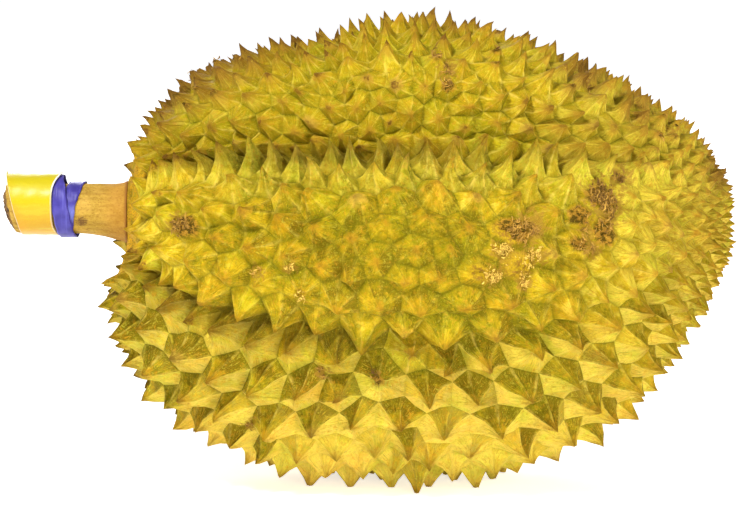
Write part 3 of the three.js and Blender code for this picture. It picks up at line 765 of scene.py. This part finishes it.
def build_ribbon():
    """A flat strip carried along its way round the stalk. Its section is a thin closed loop, bowed a little
    across, with small waves along both edges."""
    path = smooth_path(RIBBON_STATIONS, RIBBON_STEPS)
    angle = path[:, :1] * DEGREE
    out, away, width, stand = (path[:, k : k + 1] for k in range(1, 5))
    share = np.linspace(-1, 1, RIBBON_ACROSS)[None, :]
    wrinkle = 0.04 * np.sin(angle * 9 + 2.2 * share) + 0.028 * np.sin(angle * 17 - 3 * share)
    level = away + RIBBON_OFF + RIBBON_BOW * (1 - share**2) + wrinkle + stand * share
    offset = share * width / 2 + 0.12 * np.sin(angle * 6) + 0.10 * np.sin(angle * 13 + share)

    rings_out = out_and_back(out + offset, out + offset, 1)
    points = on_stalk(rings_out, out_and_back(level + RIBBON_THICK, level, 1), angle)
    points = inside(points.reshape(-1, 3), "ribbon")
    sides = 2 * RIBBON_ACROSS
    k = np.arange(RIBBON_ACROSS - 1)
    upper_half = np.stack([k, sides - 1 - k, k + 1], -1)
    lower_half = np.stack([k + 1, sides - 1 - k, sides - 2 - k], -1)
    start = np.concatenate([upper_half, lower_half])
    end = start[:, ::-1] + (RIBBON_STEPS - 1) * sides
    faces = np.concatenate([halves(wrapped_grid(RIBBON_STEPS, sides)), start, end])
    ribbon = make_piece("wound_ribbon", points, faces, "ribbon")
    add_values(ribbon, "turned", np.repeat(path[:, 0], sides))
    add_values(ribbon, "across", np.broadcast_to(out_and_back(share, share, 1), (RIBBON_STEPS, sides)))
    return ribbon


# ---- How a finish is made ----


class Value:
    """A number or a colour at every place of a finish. Numbers are added, subtracted and multiplied as
    usual."""

    def __init__(self, finish, socket):
        self.finish, self.socket = finish, socket

    def __add__(self, other):
        return self.finish.math("ADD", self, other)

    def __sub__(self, other):
        return self.finish.math("SUBTRACT", self, other)

    def __rsub__(self, other):
        return self.finish.math("SUBTRACT", other, self)

    def __mul__(self, other):
        return self.finish.math("MULTIPLY", self, other)

    __radd__, __rmul__ = __add__, __mul__

    def span(self, low, high, out_low=0.0, out_high=1.0):
        """The number carried smoothly from one range to another, and held at its ends."""
        inputs = dict(enumerate((self, low, high, out_low, out_high)))
        return self.finish.node("ShaderNodeMapRange", 0, inputs, interpolation_type="SMOOTHSTEP")


class Finish:
    """A material made of nodes: a ground colour with coats over it, each put on by a share from 0 to 1."""

    def __init__(self, name, ground):
        self.material = bpy.data.materials.new(name)
        self.material.use_nodes = True
        self.tree = self.material.node_tree
        self.shader = self.tree.nodes["Principled BSDF"]
        self.colour = ground

    def node(self, kind, output, inputs, **settings):
        """One output of a new node, with its inputs by number or name."""
        made = self.tree.nodes.new(kind)
        for name, value in settings.items():
            setattr(made, name, value)
        self.put(made, inputs)
        return Value(self, made.outputs[output])

    def put(self, node, inputs):
        for key, value in inputs.items():
            socket = node.inputs[key]
            if isinstance(value, Value):
                self.tree.links.new(value.socket, socket)
            elif socket.type == "RGBA":
                socket.default_value = (*value, 1)
            else:
                socket.default_value = value

    def values_of(self, *names):
        """The numbers that the piece carries under these names."""
        return [self.node("ShaderNodeAttribute", "Fac", {}, attribute_name=name) for name in names]

    def math(self, operation, a, b):
        return self.node("ShaderNodeMath", 0, {0: a, 1: b}, operation=operation)

    def blend(self, share, a, b, mode="MIX"):
        return self.node("ShaderNodeMix", 2, {0: share, 6: a, 7: b}, data_type="RGBA", blend_type=mode)

    def coat(self, share, colour, mode="MIX"):
        self.colour = self.blend(share, self.colour, colour, mode)

    def place(self, kind="Object", scale=(1, 1, 1)):
        source = self.node("ShaderNodeTexCoord", kind, {})
        return self.node("ShaderNodeMapping", 0, {"Vector": source, "Scale": scale})

    def noise(self, where, scale, detail=3.0, roughness=0.55, distortion=0.0):
        inputs = dict(Vector=where, Scale=scale, Detail=detail, Roughness=roughness, Distortion=distortion)
        return self.node("ShaderNodeTexNoise", "Fac", inputs)

    def surface(self, roughness, specular, relief, distance, strength):
        """The colour with all its coats, the shine, and the relief."""
        bump = self.node("ShaderNodeBump", 0, {"Height": relief, "Distance": distance, "Strength": strength})
        self.put(self.shader, {"Base Color": self.colour, "Normal": bump})
        self.put(self.shader, {"Roughness": roughness, "Specular IOR Level": specular})


# ---- The husk's finish ----

# painted shadow along the valleys
VALLEY_SHADOW_GREEN = (0.085, 0.085, 0.002)
# the green of the threads, also used for painted shade at the feet
THREAD_AND_SHADE_GREEN = (0.20, 0.165, 0.003)
DARK_OLIVE = (0.180, 0.124, 0.002)
FLANK_GREEN = (0.34, 0.252, 0.004)
FLANK_OLIVE = (0.46, 0.305, 0.005)
FLANK_YELLOW = (0.64, 0.43, 0.010)
BRIGHT_YELLOW = (0.86, 0.66, 0.060)
GOLD = (0.87, 0.64, 0.11)
PALE_GREEN = (0.60, 0.50, 0.045)
TIP_ORANGE = (0.60, 0.29, 0.016)
TIP_CREAM = (0.78, 0.52, 0.10)
TIP_BROWN = (0.19, 0.075, 0.012)
DRY_BROWN = (0.34, 0.185, 0.022)
TORN_BROWN = (0.42, 0.21, 0.022)
DEEP_BROWN = (0.080, 0.045, 0.004)
CORK_ORANGE = (0.80, 0.44, 0.020)
CORK_BROWN = (0.40, 0.20, 0.012)
GREENER, WARMER = (0.83, 1.0, 0.7), (1.06, 0.90, 0.9)  # tints that multiply what they cover

# What the husk's points and facets carry.
HUSK_VALUES = "rise to_edge ridge torn stain pale dried collar blossom low groove tint facet_tint".split()
HUSK_VALUES += "front lip squat top belly downward leftward".split()


def rind_patterns(rind):
    """What the coats of the rind follow: the husk's numbers, patterns from large to small in the body of
    the fruit, stripes down each facet, and how much a facet faces down or up."""
    at = SimpleNamespace(**dict(zip(HUSK_VALUES, rind.values_of(*HUSK_VALUES))))
    body = rind.place()
    at.clouds = rind.noise(body, 22, 2)
    at.drift = rind.noise(body, 48, 3, 0.6, 0.8)
    at.patches = rind.noise(body, 85, 4, 0.6, 0.6)
    at.mottles = rind.noise(body, 260, 4, 0.65, 0.5)
    at.freckles = rind.noise(body, 520, 4, 0.7, 0.4)
    at.specks = rind.noise(body, 1300, 3, 0.6)
    at.stripes = rind.noise(rind.place("UV", (1.1, 0.10, 1)), 1.0, 4, 0.65, 0.5)
    at.fine_stripes = rind.noise(rind.place("UV", (3.0, 0.22, 1)), 1.0, 3, 0.6, 0.4)
    # the belly's facets that face down, which get painted light from the floor
    at.under_facet = at.downward.span(-0.05, 0.35) * at.belly
    # facets that face down, and facets that face up, for the painted shade at the feet
    at.overhung = at.downward.span(-0.1, 0.45)
    at.upward = at.downward.span(0.25, -0.35)
    return at


def yellowness_and_painted_light(at):
    """How yellow a place is, rather than green, with painted light and shade mixed in. Painted light: the
    facets that face left, the belly's facets that face down and the places near the floor are made
    yellower, as if lit by the key lamp and the floor. Painted shade: the rest of the belly is made darker."""
    mottled = 0.4 * at.clouds + 1.3 * at.patches + 1.5 * at.mottles + 0.7 * at.stripes + 0.55 * at.freckles
    # painted light: 0.22 * leftward lightens the facets that face the key lamp
    by_facet = at.facet_tint * (0.40 + 0.35 * at.blossom) + 0.22 * at.leftward
    # painted light: 0.12 * low lightens the places near the floor
    by_place = 0.25 * at.rise + 0.12 * at.low + 0.75 * at.blossom * at.blossom
    # painted light under the belly's thorns, as lit from the floor; painted shade on the rest of the belly
    by_lobe = at.under_facet * (0.68 + 0.35 * at.low) - 0.80 * at.belly - 0.24 * at.front - 0.16 * at.squat
    return mottled + by_facet + by_place + by_lobe - 1.79


def paint_flanks(rind, at):
    """From dark olive to bright yellow, greener on the top lobe and the lip, with slow drifts of hue, and
    gold painted light under the belly's thorns, on the facets that face down towards the floor."""
    yellow = yellowness_and_painted_light(at)
    rind.coat(yellow.span(0.0, 0.40), FLANK_GREEN)
    rind.coat(yellow.span(0.30, 0.55), FLANK_OLIVE)
    rind.coat(yellow.span(0.50, 0.80), FLANK_YELLOW)
    rind.coat(yellow.span(0.80, 1.15), BRIGHT_YELLOW)
    rind.coat(at.top * at.patches.span(0.36, 0.6, 0.12, 0.62), FLANK_GREEN)
    rind.coat(at.lip * at.mottles.span(0.38, 0.6, 0.2, 0.75), PALE_GREEN)
    # painted light: gold on the belly's facets that face down, as lit from the floor
    rind.coat(at.under_facet * at.mottles.span(0.35, 0.6, 0.75, 0.35), GOLD)
    rind.coat(at.drift.span(0.50, 0.64, 0, 0.85), GREENER, "MULTIPLY")
    rind.coat(at.drift.span(0.46, 0.34, 0, 0.8), WARMER, "MULTIPLY")


def paint_threads(rind, at):
    """Orange, yellow and green threads, which are fainter on the front, flecks, and a light line on each
    ridge."""
    threads = 1 - 0.38 * at.front * (1 - 0.9 * at.blossom)
    rind.coat(threads * at.stripes.span(0.30, 0.44, 0.6, 0.0), THREAD_AND_SHADE_GREEN)
    rind.coat(threads * at.stripes.span(0.54, 0.66, 0, 0.6) * at.rise.span(0.0, 0.45), TIP_ORANGE)
    rind.coat(threads * at.fine_stripes.span(0.54, 0.68, 0, 0.5), BRIGHT_YELLOW)
    rind.coat(threads * at.fine_stripes.span(0.44, 0.32, 0, 0.45), THREAD_AND_SHADE_GREEN)
    rind.coat(at.freckles.span(0.54, 0.66, 0, 0.6), TIP_ORANGE)
    rind.coat(at.freckles.span(0.44, 0.34, 0, 0.5), PALE_GREEN)
    line = at.ridge.span(0.64 - 0.2 * at.front, 1.0) * at.mottles.span(0.38, 0.6, 0.08, 0.62)
    by_lobe = 1 - 0.4 * at.squat + 0.4 * at.lip - 0.45 * at.front - 0.3 * at.belly + 0.6 * at.blossom
    rind.coat(line * by_lobe, rind.blend(at.patches.span(0.42, 0.58), GOLD, BRIGHT_YELLOW))


def paint_blossom_end(rind, at):
    """Streaks of yellow, orange and green, painted shade where it faces up, and a brown crust at the
    very end.
    """
    rind.coat(at.blossom * at.mottles.span(0.42, 0.56, 0, 0.15), BRIGHT_YELLOW)
    dry = at.stripes.span(0.52, 0.62, 0.0, 0.5) * at.patches.span(0.34, 0.52, 0.2, 1)
    rind.coat(at.blossom * dry, TIP_ORANGE)
    rind.coat(at.blossom * at.fine_stripes.span(0.48, 0.36, 0, 0.6), FLANK_GREEN)
    # painted shade: darker olive on the facets that face up
    rind.coat(at.blossom * at.downward.span(0.15, -0.35, 0, 0.42), DARK_OLIVE)
    rind.coat(at.blossom.span(0.85, 1.0) * at.freckles.span(0.44, 0.58, 0.0, 0.36), TORN_BROWN)


def paint_shade_at_feet(rind, at):
    """Towards the foot the flank turns green, partly the green of the valleys and partly painted shade,
    most where a facet faces down or faces up under the thorn above, and a thin dark line of painted
    shadow runs along some of the valleys.
    """
    upper_front = 0.45 * at.front * at.upward
    by_lobe = 0.45 * at.overhung + 0.12 * at.top + 0.3 * at.belly + upper_front + 0.2
    # green at the feet: partly the valleys' own green, partly painted shade where facets face down or up
    rind.coat(at.to_edge.span(0.2, 3.6, 0.7, 0) * by_lobe * (1 - 0.8 * at.under_facet), THREAD_AND_SHADE_GREEN)
    hanging = at.overhung * (0.4 - 0.3 * at.belly)
    by_lobe = 0.6 * at.belly * at.upward + upper_front + hanging + 0.3 * at.top + 0.03
    line = at.to_edge.span(0.05, 0.9, 0.9, 0) * at.patches.span(0.38, 0.56, 0.35, 1)
    # painted shadow: a thin dark line along the valleys
    rind.coat(line * by_lobe, VALLEY_SHADOW_GREEN)


def paint_tips(rind, at):
    """The tips, with an uneven border: orange and cream, then brown at the very end."""
    reach = at.rise + 0.16 * at.tint + 0.7 * at.mottles + 0.4 * at.freckles
    reach = reach - 0.10 * at.lip + 0.09 * at.top - 0.62
    colour = rind.blend(at.tint.span(0.75, 1.2), TIP_ORANGE, TIP_CREAM)
    colour = rind.blend(0.40 * at.top, colour, DRY_BROWN)
    rind.coat(reach.span(0.55, 0.95) * (0.7 - 0.15 * at.front - 0.2 * at.belly), colour)
    brown_from = 0.76 + 0.12 * at.squat + 0.06 * at.front + 0.08 * at.belly + 0.12 * at.top
    brown = (reach - brown_from).span(0, 0.14) * at.tint.span(0.25, 0.8, 0.25, 1)
    rind.coat(brown * (0.8 - 0.4 * at.front - 0.4 * at.belly - 0.5 * at.blossom), TIP_BROWN)


def paint_seam_shade_and_worn_places(rind, at):
    """Dark brown painted shade in the seams, stains round the scars, dried thorns near the top, torn flesh
    from fibres to crumbs, specks everywhere, and crumbly cork round the stalk."""
    # painted shade: dark brown along the seams
    rind.coat(0.45 * at.groove.span(0.3, 1.0), DEEP_BROWN)
    stained = (at.stain + 2.2 * at.mottles + 1.4 * at.freckles - 2.0).span(0.2, 0.6)
    rind.coat(stained * at.stain.span(0.05, 0.5, 0, 0.75), DRY_BROWN)
    dead = (at.rise + 0.9 * at.mottles + 0.2 * at.tint).span(0.54, 0.92, 0, 0.9)
    rind.coat(at.dried * dead, rind.blend(at.stripes.span(0.42, 0.6), TIP_BROWN, DRY_BROWN))
    fibres = rind.blend(at.freckles.span(0.44, 0.56), DEEP_BROWN, TORN_BROWN)
    crumbly = rind.blend(at.freckles.span(0.40, 0.58), TORN_BROWN, FLANK_YELLOW)
    rind.coat(0.95 * at.torn, rind.blend(at.pale.span(0.4, 1.0, 0, 0.8), fibres, crumbly))
    rind.coat(at.specks.span(0.60, 0.70, 0, 0.5), TORN_BROWN)
    rind.coat(at.specks.span(0.40, 0.30, 0, 0.35), BRIGHT_YELLOW)
    cork = rind.blend(at.specks.span(0.38, 0.52), CORK_BROWN, CORK_ORANGE)
    rind.coat(at.collar * (at.freckles + at.patches).span(0.82, 1.08, 0.25, 1), cork)


def husk_finish():
    """Green in the valleys, mottled olive to yellow up the flanks, light along the ridges, orange-brown at
    the tips, with stripes down the facets; with painted light and shade by the way each facet faces, and
    painted shade at the feet of the thorns and in the seams."""
    rind = Finish("durian_rind", DARK_OLIVE)
    at = rind_patterns(rind)
    for paint in (paint_flanks, paint_threads, paint_blossom_end, paint_shade_at_feet, paint_tips, paint_seam_shade_and_worn_places):
        paint(rind, at)
    relief = 0.9 * at.stripes + 0.8 * at.mottles + 0.8 * at.freckles + 0.3 * at.specks + 0.3 * at.fine_stripes
    relief = relief + 1.6 * at.collar * at.freckles
    rind.surface(at.specks.span(0.3, 0.7, 0.5, 0.7), 0.05, relief, 1.4 * MM, 1.0)
    return rind.material


# ---- The other finishes ----

FIBRE_DARK, FIBRE_STRAW, FIBRE_CREAM = (0.11, 0.048, 0.008), (0.55, 0.31, 0.045), (0.80, 0.54, 0.085)
FIBRE_GRAIN = (0.16, 0.08, 0.02)
BARK_SHADE, BARK_TAN, BARK_PALE = (0.26, 0.145, 0.013), (0.41, 0.255, 0.030), (0.54, 0.33, 0.065)
BARK_DOTS, BARK_FLECKS, KNOT_BROWN = (0.20, 0.09, 0.010), (0.56, 0.35, 0.07), (0.10, 0.042, 0.010)
FLARE_ORANGE, JOINT_BROWN = (0.46, 0.20, 0.020), (0.22, 0.085, 0.012)
CUT_DARK, CUT_FIBRES = (0.030, 0.015, 0.006), (0.27, 0.135, 0.035)
PRINT_YELLOW, PRINT_AMBER, PRINT_LIGHT = (0.435, 0.35, 0.004), (0.46, 0.25, 0.006), (0.46, 0.40, 0.011)
PRINT_ORANGE, PRINT_GRAIN, PAPER_WHITE = (0.56, 0.24, 0.012), (0.60, 0.52, 0.05), (0.78, 0.77, 0.70)
FILM_DARK, FILM_VIOLET = (0.030, 0.022, 0.185), (0.054, 0.043, 0.27)
FILM_LINES, FILM_EDGE, FILM_PALE_PATCH = (0.13, 0.12, 0.46), (0.14, 0.13, 0.46), (0.12, 0.13, 0.42)


def shred_finish():
    """From dark brown through straw to cream, with fine fibres."""
    fibre = Finish("dry_fibre", FIBRE_DARK)
    (kind,) = fibre.values_of("kind")
    grain = fibre.noise(fibre.place(), 1500, 3)
    fibre.coat(kind.span(-0.15, 0.45), FIBRE_STRAW)
    fibre.coat(kind.span(0.5, 1.1), FIBRE_CREAM)
    fibre.coat(grain.span(0.4, 0.7, 0, 0.5), FIBRE_GRAIN)
    fibre.surface(0.8, 0.2, grain, 0.2 * MM, 0.6)
    return fibre.material


def stalk_finish():
    """Tan bark with fine lengthwise streaks, dark dots and a brown knot; the cut end is dark and
    fibrous."""
    bark = Finish("stalk_bark", BARK_SHADE)
    on_cut, out, knot = bark.values_of("on_cut", "out", "knot")
    streaks = bark.noise(bark.place("Object", (50, 520, 520)), 1.0, 4, 0.6)
    cloud = bark.noise(bark.place(), 110, 3)
    dots = bark.noise(bark.place("Object", (1, 1.4, 1.4)), 900, 3, 0.6)
    cut_grain = bark.noise(bark.place(), 480, 4, 0.7)
    bark.coat(streaks.span(0.3, 0.7), BARK_TAN)
    bark.coat(cloud.span(0.4, 0.75, 0, 0.5), BARK_PALE)
    bark.coat(dots.span(0.54, 0.66, 0, 0.6), BARK_DOTS)
    bark.coat(dots.span(0.46, 0.34, 0, 0.35), BARK_FLECKS)
    bark.coat((knot * dots.span(0.35, 0.6, 1.2, 0.6)).span(0.25, 0.7, 0, 0.9), KNOT_BROWN)
    bark.coat(out.span(16, 3, 0, 0.45), FLARE_ORANGE)
    bark.coat(out.span(2.0, 0.7, 0, 0.8), JOINT_BROWN)
    bark.coat(on_cut, bark.blend(cut_grain.span(0.35, 0.65), CUT_DARK, CUT_FIBRES))
    bark.surface(0.75, 0.2, 0.7 * streaks + 0.5 * dots, 0.6 * MM, 0.7)
    return bark.material


def sleeve_finish():
    """Glossy yellow print, warmer below, on white paper that shows along the edges and inside."""
    paper = Finish("glossy_paper", PRINT_YELLOW)
    from_near, from_far, height, inner = paper.values_of("from_near", "from_far", "height", "inner")
    cloud = paper.noise(paper.place(), 130, 3)
    fibre = paper.noise(paper.place(), 2600, 3)
    streaks = paper.noise(paper.place("Object", (60, 420, 420)), 1.0, 3, 0.6)
    warm = 1.3 * streaks - height
    paper.coat(warm.span(0.35, 1.25), PRINT_AMBER)
    paper.coat(streaks.span(0.52, 0.68, 0, 0.5), PRINT_LIGHT)
    paper.coat(from_far.span(5, 0) * warm.span(0.2, 1.0, 0.1, 0.6), PRINT_ORANGE)
    paper.coat(fibre.span(0.5, 0.8, 0, 0.25), PRINT_GRAIN)
    paper.coat(from_near.span(0.75, 0.55) * height.span(0.2, 0.8, 0.25, 1), PAPER_WHITE)
    paper.coat(from_far.span(0.3, 0.15, 0, 0.4), PAPER_WHITE)
    paper.coat(inner, PAPER_WHITE)
    paper.surface(0.32, 0.25, cloud + 0.15 * fibre, 0.5 * MM, 0.35)
    return paper.material


def ribbon_finish():
    """Blue-violet plastic film, with a paler patch on the front of its first turn and fine lines along it."""
    film = Finish("violet_film", FILM_DARK)
    turned, across = film.values_of("turned", "across")
    cloud = film.noise(film.place(), 220, 3)
    lines = film.noise(film.place("Object", (900, 60, 60)), 1.0, 2)
    film.coat(cloud.span(0.3, 0.7), FILM_VIOLET)
    film.coat(lines.span(0.55, 0.75, 0, 0.5), FILM_LINES)
    film.coat(across.span(0.82, 0.97, 0, 0.5), FILM_EDGE)
    film.coat(turned.span(20, 0) * turned.span(-30, -12, 0, 0.8), FILM_PALE_PATCH)
    film.surface(0.38, 0.28, lines + cloud, 0.25 * MM, 0.4)
    return film.material


# ---- Floor, lights and camera ----

FLOOR_HALF = 6.0
FLOOR_WHITE = (0.95, 0.95, 0.95)
FLOOR_GLOW = 0.62
ROOM_LIGHT = 0.4

# The round lamps: name, place, what each points at, size and power.
LAMPS = [
    ("key", (-0.5, -0.8, 1.2), (0, 0, 0.1), 0.35, 24.4),
    ("low_front", (0.45, -1.2, 0.08), (0.02, 0, 0.06), 0.4, 10.5),
    ("right", (1.2, -0.5, 0.5), (0.1, 0, 0.1), 0.4, 6.5),
    ("back", (-0.3, 1.4, 0.8), (0, 0, 0.1), 0.6, 9),
]

CAMERA_ELEVATION = 8 * DEGREE
CAMERA_DISTANCE = 1.8
SHOWN_WIDTH = 0.3355
CAMERA_AIM = np.array([0.003, 0, 0.1017])


def build_floor():
    """A plain white floor that glows, so that it stays pale away from the lamps."""
    near, far = -FLOOR_HALF, FLOOR_HALF
    mesh = bpy.data.meshes.new("pale_floor")
    mesh.from_pydata([(near, near, 0), (far, near, 0), (far, far, 0), (near, far, 0)], [], [[0, 1, 2, 3]])
    paint = Finish("pale_paint", FLOOR_WHITE)
    paint.put(paint.shader, {"Base Color": FLOOR_WHITE, "Roughness": 0.9})
    paint.put(paint.shader, {"Emission Color": (1, 1, 1), "Emission Strength": FLOOR_GLOW})
    mesh.materials.append(paint.material)
    new_object("pale_floor", mesh)


def add_lamp(name, place, target, size, power):
    data = bpy.data.lights.new(name, "AREA")
    data.shape = "DISK"
    data.size = size
    data.energy = power
    lamp = new_object(name, data)
    lamp.location = place
    lamp.visible_camera = False
    lamp.rotation_euler = (Vector(target) - Vector(place)).to_track_quat("-Z", "Y").to_euler()


def build_studio():
    """Soft white light from all round, and the lamps."""
    world = bpy.data.worlds.new("white_studio")
    bpy.context.scene.world = world
    world.use_nodes = True
    background = world.node_tree.nodes["Background"]
    background.inputs["Color"].default_value = (1, 1, 1, 1)
    background.inputs["Strength"].default_value = ROOM_LIGHT
    for lamp in LAMPS:
        add_lamp(*lamp)
    bpy.context.scene.view_settings.view_transform = "Standard"


def add_camera():
    """Looks along +Y from a little above the fruit's middle, from far enough away to flatten it."""
    data = bpy.data.cameras.new("camera")
    camera = new_object("camera", data)
    back = np.array([0, -np.cos(CAMERA_ELEVATION), np.sin(CAMERA_ELEVATION)])
    camera.location = CAMERA_AIM + back * CAMERA_DISTANCE
    camera.rotation_euler = Vector(-back).to_track_quat("-Z", "Y").to_euler()
    data.lens = data.sensor_width * CAMERA_DISTANCE / SHOWN_WIDTH
    bpy.context.scene.camera = camera


husk, surface, outward, torn = build_husk()
husk.data.materials.append(husk_finish())
build_shreds(surface, outward, torn).data.materials.append(shred_finish())
build_stalk().data.materials.append(stalk_finish())
build_sleeve().data.materials.append(sleeve_finish())
build_ribbon().data.materials.append(ribbon_finish())
build_floor()
build_studio()
add_camera()
